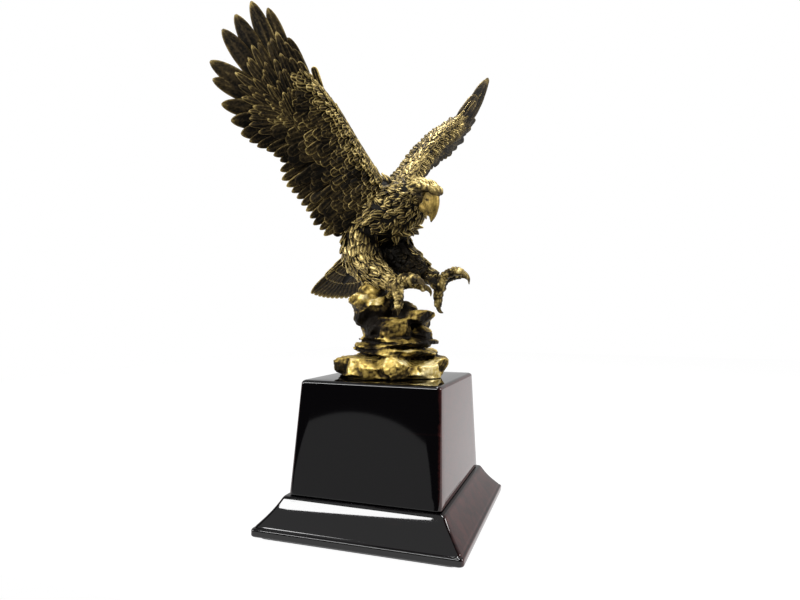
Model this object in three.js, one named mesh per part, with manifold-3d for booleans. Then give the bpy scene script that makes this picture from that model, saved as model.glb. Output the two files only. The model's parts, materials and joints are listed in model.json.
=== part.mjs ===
// Eagle award statuette: a cast eagle with raised wings on a rock, bolted to a
// lacquered plinth. Millimetres, +Z up. The origin is the centre of the felt underside
// and -Y is the front of the plinth. The eagle is built in its own frame, with +X along
// its beak and +Y to its left, and is then turned on the plinth by HEADING.

import * as THREE from 'three';
import { mergeVertices } from 'three/addons/utils/BufferGeometryUtils.js';
import Module from 'manifold-3d';

const wasm = await Module();
wasm.setup();

// ---------- driving dimensions ----------

const GAP = 0.3;
const HEADING = THREE.MathUtils.degToRad(-33);
const ROCK_YAW = THREE.MathUtils.degToRad(17);

const FELT_THICKNESS = 1;
const BOARD_HALF_WIDTH = 60;
const BOARD_HALF_DEPTH = 64;
const BOARD_TOP = 21;
const BLOCK_HALF_WIDTH = 44.9;
const BLOCK_HALF_DEPTH = 49.5;
const BLOCK_HALF_TOP = 42.4;
const BLOCK_TOP = 85.8;

const ROCK_BOTTOM = BLOCK_TOP + GAP;
const SLAB_TOP = 99;
const STRATA_TOP = 110;
const CRAG_TOP = 126;
const LUMP_TOP = 140;

const BOLT_RADIUS = 3;
const COUNTERBORE_RADIUS = 11;
const COUNTERBORE_TOP = 62;
const WASHER_TOP = COUNTERBORE_TOP - GAP;
const WASHER_THICKNESS = 1.5;
const INSERT_RADIUS = 4;
const INSERT_TOP = ROCK_BOTTOM + 12;
const SCREW_RADIUS = 1.8;
const SCREW_SPACING = 32;
const PILOT_TOP = 36;
const PIN_RADIUS = 1.1;

// Each wing has its shoulder point and two directions in the eagle's frame: span runs
// out along the leading edge and chord back to the trailing edge. The left wing is a
// little more folded: narrower across its chord, with a longer hand.
const WINGS = {
  right: {
    shoulder: [0, -10, 213], span: [-0.015, -0.699, 0.714], chord: [-0.62, -0.554, -0.554],
    handStretch: 1, width: 1, tipWidth: 1,
  },
  left: {
    shoulder: [-1, 9.5, 218], span: [0, 0.69, 0.724], chord: [-0.741, 0.473, -0.477],
    handStretch: 1.16, width: 0.66, tipWidth: 0.86,
  },
};
const WRIST_SPAN = 65;
const WING_REACH = 119;
const ARM_BOW = 3;
const TIP_SWEEP = 6;

// ---------- materials ----------

const bronze = new THREE.MeshStandardMaterial({ color: 0x5a4a2c, roughness: 0.42, metalness: 0.85 });
const goldenBronze = new THREE.MeshStandardMaterial({ color: 0x8a7440, roughness: 0.38, metalness: 0.85 });
const lacquer = new THREE.MeshStandardMaterial({ color: 0x1a0f10, roughness: 0.06, metalness: 0 });
const steel = new THREE.MeshStandardMaterial({ color: 0x9a9ca0, roughness: 0.35, metalness: 1 });
const brass = new THREE.MeshStandardMaterial({ color: 0xb8963e, roughness: 0.35, metalness: 1 });
const felt = new THREE.MeshStandardMaterial({ color: 0x303033, roughness: 1, metalness: 0 });

// ---------- solids and meshes ----------

function toSolid(geometry) {
  const bare = geometry.clone();
  bare.deleteAttribute('normal');
  bare.deleteAttribute('uv');
  const merged = mergeVertices(bare, 1e-4);
  const corners = merged.index.array;
  const kept = [];
  for (let i = 0; i < corners.length; i += 3) {
    const [a, b, c] = [corners[i], corners[i + 1], corners[i + 2]];
    if (a !== b && b !== c && c !== a) kept.push(a, b, c);
  }
  return new wasm.Manifold(new wasm.Mesh({
    numProp: 3,
    vertProperties: new Float32Array(merged.attributes.position.array),
    triVerts: new Uint32Array(kept),
  }));
}

function toGeometry(solid) {
  const mesh = solid.getMesh();
  const geometry = new THREE.BufferGeometry();
  geometry.setAttribute('position', new THREE.BufferAttribute(mesh.vertProperties, mesh.numProp));
  geometry.setIndex(new THREE.BufferAttribute(mesh.triVerts, 1));
  geometry.computeVertexNormals();
  return geometry;
}

function join(geometries) {
  return geometries.map(toSolid).reduce((whole, piece) => whole.add(piece));
}

function cut(solid, cutters) {
  return cutters.reduce((left, cutter) => left.subtract(cutter), solid);
}

function piece(name, solid, material) {
  const mesh = new THREE.Mesh(toGeometry(solid), material);
  mesh.name = name;
  return mesh;
}

// ---------- shape helpers ----------

// A bar of round section between two points, with a radius at each end.
function bar(from, to, startRadius, endRadius, sides = 12) {
  const axis = new THREE.Vector3().subVectors(to, from);
  const geometry = new THREE.CylinderGeometry(endRadius, startRadius, axis.length(), sides);
  const turn = new THREE.Quaternion().setFromUnitVectors(
    new THREE.Vector3(0, 1, 0), axis.clone().normalize());
  geometry.applyQuaternion(turn);
  const middle = new THREE.Vector3().addVectors(from, to).multiplyScalar(0.5);
  return geometry.translate(middle.x, middle.y, middle.z);
}

// A limb: a round bar whose centre line runs smoothly through stations [x, y, z, radius].
// grow thickens it all over, and both ends are domed.
function limb(stations, grow = 0, sides = 10, ringsPerSpan = 2) {
  const curve = new THREE.CatmullRomCurve3(stations.map(([x, y, z]) => new THREE.Vector3(x, y, z)));
  const spans = stations.length - 1;
  const direction = new THREE.Vector3().subVectors(curve.getPoint(1), curve.getPoint(0)).normalize();
  const side = Math.abs(direction.y) < 0.7 ? new THREE.Vector3(0, 1, 0) : new THREE.Vector3(0, 0, 1);

  const rings = Array.from({ length: spans * ringsPerSpan + 1 }, (unused, index) => {
    const along = index / ringsPerSpan;
    const span = Math.min(Math.floor(along), spans - 1);
    const radius = THREE.MathUtils.lerp(stations[span][3], stations[span + 1][3], along - span) + grow;
    return { centre: curve.getPoint(along / spans), tangent: curve.getTangent(along / spans), radius };
  });
  const dome = (ring, way) => [
    { ...ring, centre: ring.centre.clone().addScaledVector(ring.tangent, way * ring.radius * 0.55),
      radius: ring.radius * 0.8 },
    { ...ring, centre: ring.centre.clone().addScaledVector(ring.tangent, way * ring.radius * 0.9),
      radius: ring.radius * 0.4 },
  ];
  const all = [...dome(rings[0], -1).reverse(), ...rings, ...dome(rings.at(-1), 1)];

  const geometry = new THREE.CylinderGeometry(1, 1, all.length - 1, sides, all.length - 1);
  const position = geometry.attributes.position;
  for (let i = 0; i < position.count; i += 1) {
    const ring = all[Math.round(position.getY(i) + (all.length - 1) / 2)];
    const across = side.clone().addScaledVector(ring.tangent, -side.dot(ring.tangent)).normalize();
    const upward = new THREE.Vector3().crossVectors(across, ring.tangent);
    const point = ring.centre.clone()
      .addScaledVector(across, position.getX(i) * ring.radius)
      .addScaledVector(upward, position.getZ(i) * ring.radius);
    position.setXYZ(i, point.x, point.y, point.z);
  }
  return toSolid(geometry);
}

// A column on a rounded rectangle whose half width and half depth change with height.
function boxColumn(stations, cornerRadius) {
  const width = Math.max(...stations.map((station) => station.width));
  const depth = Math.max(...stations.map((station) => station.depth));
  const [x, y] = [width - cornerRadius, depth - cornerRadius];
  const outline = new THREE.Shape();
  outline.absarc(x, y, cornerRadius, 0, Math.PI / 2, false);
  outline.absarc(-x, y, cornerRadius, Math.PI / 2, Math.PI, false);
  outline.absarc(-x, -y, cornerRadius, Math.PI, 1.5 * Math.PI, false);
  outline.absarc(x, -y, cornerRadius, 1.5 * Math.PI, 2 * Math.PI, false);
  const steps = stations.length - 1;
  const geometry = new THREE.ExtrudeGeometry(outline, {
    depth: steps, steps, bevelEnabled: false, curveSegments: 3,
  });
  const position = geometry.attributes.position;
  for (let i = 0; i < position.count; i += 1) {
    const station = stations[Math.round(position.getZ(i))];
    position.setXYZ(
      i, position.getX(i) * station.width / width, position.getY(i) * station.depth / depth, station.z);
  }
  return toSolid(geometry);
}

function upright(radius, bottom, top, x = 0, y = 0, sides = 16) {
  return toSolid(bar(new THREE.Vector3(x, y, bottom), new THREE.Vector3(x, y, top), radius, radius, sides));
}

// A turned piece: profile points [radius, height] spun about the vertical through (x, y).
function turned(profile, x = 0, y = 0, sides = 16) {
  const points = profile.map(([radius, height]) => new THREE.Vector2(radius, height));
  const geometry = new THREE.LatheGeometry(points, sides);
  geometry.rotateX(Math.PI / 2);
  return toSolid(geometry.translate(x, y, 0));
}

function pinBetween(from, to, grow = 0) {
  return toSolid(bar(from, to, PIN_RADIUS + grow, PIN_RADIUS + grow, 10));
}

// A steel pin stands GAP clear of its sockets all round and at both ends.
function pinSet(name, from, to) {
  const along = new THREE.Vector3().subVectors(to, from).setLength(GAP);
  const socket = pinBetween(from.clone().sub(along), to.clone().add(along), GAP);
  return { mesh: piece(name, pinBetween(from, to), steel), socket };
}

// ---------- plinth ----------

const screwPlaces = [[1, 1], [-1, 1], [-1, -1], [1, -1]].map(
  ([x, y]) => [x * SCREW_SPACING, y * SCREW_SPACING]);

function boardLevel(z, inset) {
  return { z, width: BOARD_HALF_WIDTH - inset, depth: BOARD_HALF_DEPTH - inset };
}

function feltPad() {
  return boxColumn([boardLevel(0, 3), boardLevel(FELT_THICKNESS, 3)], 5);
}

function baseBoard() {
  const bottom = FELT_THICKNESS + GAP;
  const bevel = [0, 1, 2, 3, 4].map((step) => {
    const rise = step / 4;
    return boardLevel(6.4 + rise * (BOARD_TOP - 7.2), 1.1 + 11.4 * rise + 0.9 * Math.sin(Math.PI * rise));
  });
  const body = boxColumn([
    boardLevel(bottom, 1.2), boardLevel(bottom + 1, 0), boardLevel(5.2, 0),
    ...bevel, boardLevel(BOARD_TOP, 13.4),
  ], 2);
  const screwHoles = screwPlaces.map(([x, y]) => upright(SCREW_RADIUS + 0.4, -1, BOARD_TOP + 1, x, y));
  const headSinks = screwPlaces.map(([x, y]) => turned(
    [[0, -1], [4.2, -1], [4.2, bottom + 0.6], [SCREW_RADIUS, bottom + 3.6], [0, bottom + 3.6]], x, y));
  return cut(body, [...screwHoles, ...headSinks]);
}

function plinthBlock() {
  const bottom = BOARD_TOP + GAP;
  const level = (z, width, depth) => ({ z, width, depth });
  const body = boxColumn([
    level(bottom, BLOCK_HALF_WIDTH - 0.8, BLOCK_HALF_DEPTH - 0.8),
    level(bottom + 0.8, BLOCK_HALF_WIDTH, BLOCK_HALF_DEPTH),
    level(BLOCK_TOP - 2, BLOCK_HALF_TOP, BLOCK_HALF_TOP),
    level(BLOCK_TOP - 0.6, BLOCK_HALF_TOP - 0.6, BLOCK_HALF_TOP - 0.6),
    level(BLOCK_TOP, BLOCK_HALF_TOP - 2, BLOCK_HALF_TOP - 2),
  ], 2);
  const counterbore = upright(COUNTERBORE_RADIUS, 0, COUNTERBORE_TOP, 0, 0, 24);
  const boltHole = upright(BOLT_RADIUS + 0.5, 0, BLOCK_TOP + 1);
  const pilotHoles = screwPlaces.map(([x, y]) => upright(SCREW_RADIUS + GAP, 0, PILOT_TOP, x, y));
  return cut(body, [counterbore, boltHole, ...pilotHoles]);
}

function boardScrew([x, y]) {
  const head = FELT_THICKNESS + GAP + 0.3;
  return turned([
    [0, head], [3.7, head], [SCREW_RADIUS, head + 2.6], [SCREW_RADIUS, head + 28], [0, head + 32],
  ], x, y);
}

// A ring of rectangular section between two heights, turned about the bolt's axis.
function ring(inner, outer, bottom, top) {
  return turned([[inner, bottom], [outer, bottom], [outer, top], [inner, top], [inner, bottom]], 0, 0, 20);
}

function fixingWasher() {
  return ring(BOLT_RADIUS + 0.4, 9, WASHER_TOP - WASHER_THICKNESS, WASHER_TOP);
}

function fixingBolt() {
  const headTop = WASHER_TOP - WASHER_THICKNESS - GAP;
  const hexHead = upright(5.7, headTop - 4, headTop, 0, 0, 6);
  return hexHead.add(upright(BOLT_RADIUS, headTop - 1, INSERT_TOP - 2));
}

function threadedInsert() {
  return ring(BOLT_RADIUS + GAP, INSERT_RADIUS, ROCK_BOTTOM + GAP, INSERT_TOP);
}

// ---------- eagle: body ----------

// The trunk runs from the tail root to the skull; thighs and shanks hang from it.
function bodyCore(grow) {
  const trunk = limb([
    [-40, 0, 171, 8], [-26, 0, 178, 13], [-8, 0, 189, 18.5], [10, 0, 194, 15],
    [21, 0, 196, 11.5], [29, 0, 197, 9.3], [35, 0, 196, 7.4],
  ], grow, 14);
  const beak = limb([
    [36, 0, 193, 5.4], [39, 0, 189, 4.1], [38.2, 0, 184.5, 2.7], [35, 0, 180.2, 0.8],
  ], grow, 10);
  const shoulders = [-1, 1].map((side) => limb([[-3, 0, 198, 13.5], [-5, side * 8, 202, 10.5]], grow));
  const thighs = [
    limb([
      [-22, -8, 180, 14], [-19, -12, 165, 13], [-11, -12, 155, 11], [2, -12, 149, 7.2],
      [9.5, -11.6, 146, 4.4],
    ], grow),
    limb([
      [-20, 9, 180, 13], [-13, 11, 166, 13], [-2, 12, 158, 11], [12, 12, 152, 6.8], [22.5, 12, 148.5, 4.2],
    ], grow),
  ];
  const underTail = limb([[-22, 0, 172, 12], [-41, 0, 163, 7.5]], grow);
  return [beak, ...shoulders, ...thighs, underTail].reduce((whole, part) => whole.add(part), trunk);
}

// ---------- eagle: feathers, wings and tail ----------

// A feather blade lying in the XY plane: root at the origin, tip at (length, 0).
function featherBlade(length, width, thickness) {
  const half = width / 2;
  const outline = new THREE.Shape();
  outline.moveTo(0, -half * 0.45);
  outline.quadraticCurveTo(length * 0.35, -half * 1.1, length * 0.8, -half);
  outline.quadraticCurveTo(length * 0.96, -half * 0.8, length, 0);
  outline.quadraticCurveTo(length * 0.96, half * 0.8, length * 0.8, half);
  outline.quadraticCurveTo(length * 0.35, half * 1.1, 0, half * 0.45);
  outline.closePath();
  const geometry = new THREE.ExtrudeGeometry(outline, {
    depth: thickness, bevelEnabled: false, curveSegments: 3,
  });
  return geometry.translate(0, 0, -thickness / 2);
}

function laidFeather(root, tip, width, thickness, lift, twist) {
  const along = new THREE.Vector2().subVectors(tip, root);
  const blade = featherBlade(along.length(), width, thickness);
  blade.rotateX(twist);
  blade.rotateZ(along.angle());
  return blade.translate(root.x, root.y, lift);
}

// The ten primaries, outermost first: tips as [span, chord], how far back each root is on
// the chord, and widths.
const PRIMARY_TIPS = [
  [94, 0.8], [110.5, 1.5], [118, 7], [WING_REACH, 18], [117, 28.7], [108, 45], [100, 50], [87, 54.5],
  [77, 56], [68, 56],
];
const PRIMARY_ROOTS = [6, 14, 21, 25, 26, 23, 20, 19, 18, 17];
const PRIMARY_WIDTHS = [7, 9, 10, 11, 11, 11, 11, 11, 11, 11];
const SECONDARY_COUNT = 10;

// A wing laid flat: X is the span, Y the chord and +Z its underside.
function flatWing() {
  const primaries = PRIMARY_TIPS.map(([span, chord], index) => {
    const root = new THREE.Vector2(WRIST_SPAN - 1.6 * index, PRIMARY_ROOTS[index]);
    const tip = new THREE.Vector2(span, chord);
    return laidFeather(root, tip, PRIMARY_WIDTHS[index], 1.8, 0.25 * (index % 2), 0.1);
  });
  const secondaries = Array.from({ length: SECONDARY_COUNT }, (unused, index) => {
    const step = index / (SECONDARY_COUNT - 1);
    const root = new THREE.Vector2(50 - 56 * step, 15);
    const notch = 6 * Math.exp(-(((step - 0.22) / 0.14) ** 2));
    const tip = new THREE.Vector2(62 - 71 * step, 53.5 - notch);
    return laidFeather(root, tip, 10, 1.8, 0.25 * (index % 2), 0.1);
  });
  const coverts = new THREE.Shape([
    [-12, 3], [0, 2], [20, 2], [44, 0], [WRIST_SPAN, 1.5], [75, 5], [76, 14], [64, 27], [46, 33],
    [20, 35], [-2, 38], [-14, 41], [-20, 30],
  ].map(([span, chord]) => new THREE.Vector2(span, chord)));
  const plate = new THREE.ExtrudeGeometry(coverts, { depth: 4.4, bevelEnabled: false });
  const arm = limb([[-12, 8.5, 0, 8], [14, 8, 0, 6.8], [40, 6, 0, 5.8], [WRIST_SPAN, 5.5, 0, 4]]);
  const alula = laidFeather(new THREE.Vector2(58, 4), new THREE.Vector2(74, -1.5), 5, 2.2, 0, 0);
  return join([plate.translate(0, 0, -2.2), alula, ...primaries, ...secondaries]).add(arm);
}

function wingAxes(word) {
  const span = new THREE.Vector3(...WINGS[word].span).normalize();
  const chord = new THREE.Vector3(...WINGS[word].chord);
  chord.addScaledVector(span, -chord.dot(span)).normalize();
  return { shoulder: new THREE.Vector3(...WINGS[word].shoulder), span, chord };
}

// Curves the flat wing and sets it at its shoulder. The left wing is the mirror image.
function raisedWing(word) {
  const { shoulder, span, chord } = wingAxes(word);
  const { handStretch, width, tipWidth } = WINGS[word];
  const geometry = toGeometry(flatWing());
  const position = geometry.attributes.position;
  for (let i = 0; i < position.count; i += 1) {
    const reach = position.getX(i);
    const bow = ARM_BOW * Math.sin(Math.PI * THREE.MathUtils.clamp(reach / WRIST_SPAN, 0, 1));
    const beyond = Math.max(0, reach - WRIST_SPAN);
    const outer = beyond / (WING_REACH - WRIST_SPAN);
    position.setXYZ(
      i, reach + (handStretch - 1) * beyond, position.getY(i) * THREE.MathUtils.lerp(width, tipWidth, outer),
      position.getZ(i) - bow - TIP_SWEEP * outer * outer);
  }
  const underside = new THREE.Vector3().crossVectors(span, chord);
  if (word === 'left') {
    underside.negate();
    const corners = geometry.index.array;
    for (let i = 0; i < corners.length; i += 3) {
      [corners[i], corners[i + 1]] = [corners[i + 1], corners[i]];
    }
  }
  geometry.applyMatrix4(new THREE.Matrix4().makeBasis(span, chord, underside).setPosition(shoulder));
  return toSolid(geometry);
}

function onWing(word, reach, back) {
  const { shoulder, span, chord } = wingAxes(word);
  return shoulder.addScaledVector(span, reach).addScaledVector(chord, back * WINGS[word].width);
}

const TAIL_ROOT = new THREE.Vector3(-38, 0, 171);
const TAIL_DROOP = THREE.MathUtils.degToRad(43);
const TAIL_LENGTH = 50;
const TAIL_FEATHERS = 11;
const TAIL_SPREAD = THREE.MathUtils.degToRad(25);

function tailFan(grow) {
  const feathers = Array.from({ length: TAIL_FEATHERS }, (unused, index) => {
    const side = index / (TAIL_FEATHERS - 1) * 2 - 1;
    const blade = featherBlade(TAIL_LENGTH + 2 * grow, 9.5 + 2 * grow, 1.8 + 2 * grow);
    blade.translate(0, 0, -0.7 * Math.abs(side));
    return blade.rotateZ(TAIL_SPREAD * side);
  });
  const root = limb([[0, 0, 0, 6.5], [18, 0, 0, 5], [32, 0, 0, 2.4]], grow, 10);
  const fan = toGeometry(join(feathers).add(root));
  fan.rotateZ(Math.PI);
  fan.rotateY(-TAIL_DROOP);
  return toSolid(fan.translate(TAIL_ROOT.x, TAIL_ROOT.y, TAIL_ROOT.z));
}

// ---------- eagle: feet ----------

// Toe stations are [x, y, z, radius], from the pad to the claw point.
const RIGHT_FOOT = [
  [[10.2, -11.5, 145.4, 4.1], [16, -11, 141, 4.3]],
  [
    [16, -11, 141, 3.4], [24, -11, 146, 3.2], [34, -11.5, 145, 2.7], [40, -12, 143.5, 1.9],
    [43.5, -12, 139.5, 0.7],
  ],
  [[16, -11, 141, 3.4], [20, -12, 135, 2.9], [20.5, -12.5, 129, 2.2], [20, -12.5, 124.5, 0.8]],
  [[16, -11, 141, 3.4], [22, -4, 143.5, 2.8], [29, 0, 141, 2.2], [34, 1, 136, 0.7]],
  [[15, -11, 140, 3.2], [8, -9, 137, 2.4], [4, -8, 132.5, 0.8]],
];
const LEFT_FOOT = [
  [[23, 12, 148, 4.0], [30, 12, 142, 4.2]],
  [[30, 12, 142, 3.2], [35, 12, 149, 2.8], [44, 12, 151, 2.7], [51, 12, 148.5, 1.9], [55, 12, 143, 0.7]],
  [[30, 12, 142, 3.2], [33, 17, 148, 2.6], [38, 21, 149, 2.2], [43, 24, 145, 0.7]],
  [[30, 12, 142, 3.4], [28.5, 12, 135, 2.9], [29, 12, 130, 2.2], [33, 12, 126.5, 0.8]],
  [[29, 13, 141, 3.2], [22, 19, 142, 2.4], [17, 22, 138, 0.8]],
];

function foot(toes, grow) {
  return toes.map((toe) => limb(toe, grow, 8)).reduce((whole, toe) => whole.add(toe));
}

// ---------- rock ----------

// One rock layer: an uneven outline about (x, y), bevelled top and bottom.
function rockLayer({ x, y, halfX, halfY, bottom, top, sides, seed }) {
  const bevel = Math.min(2.5, (top - bottom) / 4);
  const points = Array.from({ length: sides }, (unused, index) => {
    const angle = 2 * Math.PI * index / sides;
    const uneven = 1 + 0.06 * Math.sin(3 * angle + seed) + 0.05 * Math.sin(5 * angle + 2.3 * seed);
    return new THREE.Vector2(
      (halfX - bevel) * uneven * Math.cos(angle), (halfY - bevel) * uneven * Math.sin(angle));
  });
  const geometry = new THREE.ExtrudeGeometry(new THREE.Shape(points), {
    depth: top - bottom - 2 * bevel, bevelThickness: bevel, bevelSize: bevel, bevelSegments: 2,
  });
  geometry.translate(x, y, bottom + bevel);
  return geometry.rotateZ(ROCK_YAW);
}

function rockMass() {
  const layers = [
    { x: -2.5, y: 0, halfX: 39, halfY: 31, bottom: ROCK_BOTTOM - 3, top: SLAB_TOP, sides: 18, seed: 1 },
    { x: 2, y: -1, halfX: 29, halfY: 25, bottom: SLAB_TOP - 2, top: STRATA_TOP - 4, sides: 14, seed: 2 },
    { x: 2, y: -1, halfX: 25, halfY: 23, bottom: STRATA_TOP - 6, top: STRATA_TOP + 3, sides: 14, seed: 3 },
    { x: 1, y: -2, halfX: 24, halfY: 22, bottom: STRATA_TOP, top: CRAG_TOP, sides: 12, seed: 4 },
    { x: 14, y: -8, halfX: 12, halfY: 15, bottom: CRAG_TOP - 5, top: CRAG_TOP + 3, sides: 10, seed: 5 },
    { x: 8, y: -10, halfX: 9, halfY: 12, bottom: CRAG_TOP, top: CRAG_TOP + 8, sides: 10, seed: 6 },
    { x: -9, y: -2, halfX: 15, halfY: 14, bottom: CRAG_TOP - 4, top: LUMP_TOP - 3, sides: 12, seed: 7 },
    { x: -15, y: 1, halfX: 10, halfY: 9.5, bottom: LUMP_TOP - 6, top: LUMP_TOP + 8, sides: 10, seed: 8 },
  ];
  const floor = new THREE.BoxGeometry(200, 200, 20).translate(0, 0, ROCK_BOTTOM - 10);
  return cut(join(layers.map(rockLayer)), [toSolid(floor)]);
}

// ---------- assembly ----------

const wingPins = ['right', 'left'].flatMap((word) => [
  pinSet(`wing_pin_${word}_front`, onWing(word, -12, 8), onWing(word, 14, 6.5)),
  pinSet(`wing_pin_${word}_rear`, onWing(word, -20, 22), onWing(word, 2, 20)),
]);
const tailPin = pinSet('tail_pin', new THREE.Vector3(-38, 0, 170.5), new THREE.Vector3(-55, 0, 154.6));
const anklePins = [
  pinSet('ankle_pin_right', new THREE.Vector3(5, -12, 149.8), new THREE.Vector3(14.5, -11.2, 142.2)),
  pinSet('ankle_pin_left', new THREE.Vector3(18, 12, 152.6), new THREE.Vector3(28, 12, 143.8)),
];
const seatPins = [-15, -7].map((x, index) =>
  pinSet(`seat_pin_${index + 1}`, new THREE.Vector3(x, -12, 130), new THREE.Vector3(x, -12, 151)));
const pins = [...wingPins, tailPin, ...anklePins, ...seatPins];

function eagle() {
  const group = new THREE.Group();
  group.rotation.z = HEADING;
  const sockets = pins.map((pin) => pin.socket);
  const fittings = [bodyCore(GAP), ...sockets];
  group.add(piece('body', cut(bodyCore(0), sockets), bronze));
  group.add(piece('wing_right', cut(raisedWing('right'), fittings), bronze));
  group.add(piece('wing_left', cut(raisedWing('left'), fittings), bronze));
  group.add(piece('tail', cut(tailFan(0), fittings), bronze));
  group.add(piece('foot_right', cut(foot(RIGHT_FOOT, 0), fittings), goldenBronze));
  group.add(piece('foot_left', cut(foot(LEFT_FOOT, 0), fittings), goldenBronze));
  pins.forEach((pin) => group.add(pin.mesh));
  return group;
}

// The rock is cut clear of the eagle where the thigh, the right foot and the tail meet it.
function rock() {
  const seat = [bodyCore(GAP), foot(RIGHT_FOOT, GAP), tailFan(GAP), ...seatPins.map((pin) => pin.socket)];
  const turnedSeat = seat.map((solid) => toSolid(toGeometry(solid).rotateZ(HEADING)));
  const insertPocket = upright(INSERT_RADIUS + GAP, 0, INSERT_TOP + 1.5, 0, 0, 18);
  return cut(rockMass(), [...turnedSeat, insertPocket]);
}

const statuette = new THREE.Group();
statuette.add(piece('felt_pad', feltPad(), felt));
statuette.add(piece('base_board', baseBoard(), lacquer));
statuette.add(piece('plinth_block', plinthBlock(), lacquer));
screwPlaces.forEach((place, index) => {
  statuette.add(piece(`board_screw_${index + 1}`, boardScrew(place), steel));
});
statuette.add(piece('fixing_washer', fixingWasher(), steel));
statuette.add(piece('fixing_bolt', fixingBolt(), steel));
statuette.add(piece('threaded_insert', threadedInsert(), brass));
statuette.add(piece('rock', rock(), goldenBronze));
statuette.add(eagle());

export default statuette;
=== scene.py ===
"""Looks of the eagle statuette: cast feathers, scales and rock, lacquered plinth, studio."""
import json
import math

import bpy
import numpy as np
from mathutils import Matrix, Vector, noise
from mathutils.bvhtree import BVHTree


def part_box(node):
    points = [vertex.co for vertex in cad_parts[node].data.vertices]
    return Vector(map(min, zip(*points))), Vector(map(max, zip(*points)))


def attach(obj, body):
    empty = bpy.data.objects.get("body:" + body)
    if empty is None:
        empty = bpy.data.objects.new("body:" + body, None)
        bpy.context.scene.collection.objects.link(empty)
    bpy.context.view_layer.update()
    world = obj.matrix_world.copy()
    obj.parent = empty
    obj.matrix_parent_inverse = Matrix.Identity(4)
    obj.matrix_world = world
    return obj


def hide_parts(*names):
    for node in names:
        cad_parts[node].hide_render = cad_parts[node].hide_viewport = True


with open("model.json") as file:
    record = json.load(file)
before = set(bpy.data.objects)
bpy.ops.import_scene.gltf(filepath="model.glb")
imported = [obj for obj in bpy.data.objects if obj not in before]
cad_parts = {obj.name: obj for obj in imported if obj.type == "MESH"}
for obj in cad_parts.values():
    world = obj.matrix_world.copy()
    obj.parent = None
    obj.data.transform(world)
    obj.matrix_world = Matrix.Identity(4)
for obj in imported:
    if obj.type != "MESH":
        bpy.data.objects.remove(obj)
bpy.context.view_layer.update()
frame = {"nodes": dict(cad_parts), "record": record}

# Shapes are worked out in millimetres in the CAD's frame and scaled by MM when a mesh is made.
MM = 0.001
HEADING = math.radians(-33)
ROCK_YAW = math.radians(17)
rng = np.random.default_rng(7)


# ---------- mesh parts ----------

def part(verts, quads=(), tris=(), rub_and_painted_light=0.0):
    """A mesh part: vertices in mm, faces, and per vertex a 0-to-1 brightness: rubbed wear, plus painted
    light and shade on some parts.
    """
    verts = np.asarray(verts, float).reshape(-1, 3)
    return {
        "verts": verts,
        "quads": np.asarray(quads, int).reshape(-1, 4),
        "tris": np.asarray(tris, int).reshape(-1, 3),
        "rub_and_painted_light": np.broadcast_to(np.asarray(rub_and_painted_light, float), (len(verts),)).copy(),
    }


def merged(parts):
    offsets = np.cumsum([0] + [len(p["verts"]) for p in parts])[:-1]
    return {
        "verts": np.concatenate([p["verts"] for p in parts]),
        "quads": np.concatenate([p["quads"] + o for p, o in zip(parts, offsets)]),
        "tris": np.concatenate([p["tris"] + o for p, o in zip(parts, offsets)]),
        "rub_and_painted_light": np.concatenate([p["rub_and_painted_light"] for p in parts]),
    }


def flipped(p):
    """The same part with its faces turned inside out."""
    return {**p, "quads": p["quads"][:, [0, 3, 2, 1]], "tris": p["tris"][:, [0, 2, 1]]}


def tube(verts, sides, poles, rub_and_painted_light=0.0):
    """Closes stacked rings of vertices into a tube, with a fan to a pole at each end."""
    rings = len(verts) // sides
    i, j = np.meshgrid(np.arange(rings - 1), np.arange(sides), indexing="ij")
    k = (j + 1) % sides
    quads = np.stack([i * sides + j, i * sides + k, (i + 1) * sides + k, (i + 1) * sides + j], -1)
    ring = np.arange(sides)
    after = (ring + 1) % sides
    first_pole, last_ring = len(verts), len(verts) - sides
    tris = np.concatenate([
        np.stack([np.full(sides, first_pole), after, ring], -1),
        np.stack([np.full(sides, first_pole + 1), last_ring + ring, last_ring + after], -1)])
    return part(np.vstack([verts, poles]), quads, tris, rub_and_painted_light)


def turned_about_z(p, angle):
    c, s = math.cos(angle), math.sin(angle)
    spin = np.array([[c, -s, 0], [s, c, 0], [0, 0, 1]])
    return {**p, "verts": p["verts"] @ spin.T}


def to_mesh(name, p):
    mesh = bpy.data.meshes.new(name)
    corners = np.concatenate([p["quads"].ravel(), p["tris"].ravel()])
    sizes = np.concatenate([np.full(len(p["quads"]), 4), np.full(len(p["tris"]), 3)])
    mesh.vertices.add(len(p["verts"]))
    mesh.vertices.foreach_set("co", (p["verts"] * MM).ravel())
    mesh.loops.add(len(corners))
    mesh.loops.foreach_set("vertex_index", corners)
    mesh.polygons.add(len(sizes))
    mesh.polygons.foreach_set("loop_start", np.cumsum(np.concatenate([[0], sizes[:-1]])))
    mesh.polygons.foreach_set("use_smooth", np.ones(len(sizes), bool))
    mesh.attributes.new("rub_and_painted_light", "FLOAT", "POINT").data.foreach_set("value", p["rub_and_painted_light"])
    mesh.update(calc_edges=True)
    mesh.validate()
    return mesh


def show(name, p, material, slot, *nodes):
    """Puts a finished part in the scene as the looks of one or more CAD nodes."""
    mesh = to_mesh(name, p)
    mesh.materials.append(material)
    obj = bpy.data.objects.new(name, mesh)
    bpy.context.collection.objects.link(obj)
    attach(obj, "root")
    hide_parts(*nodes)


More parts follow.
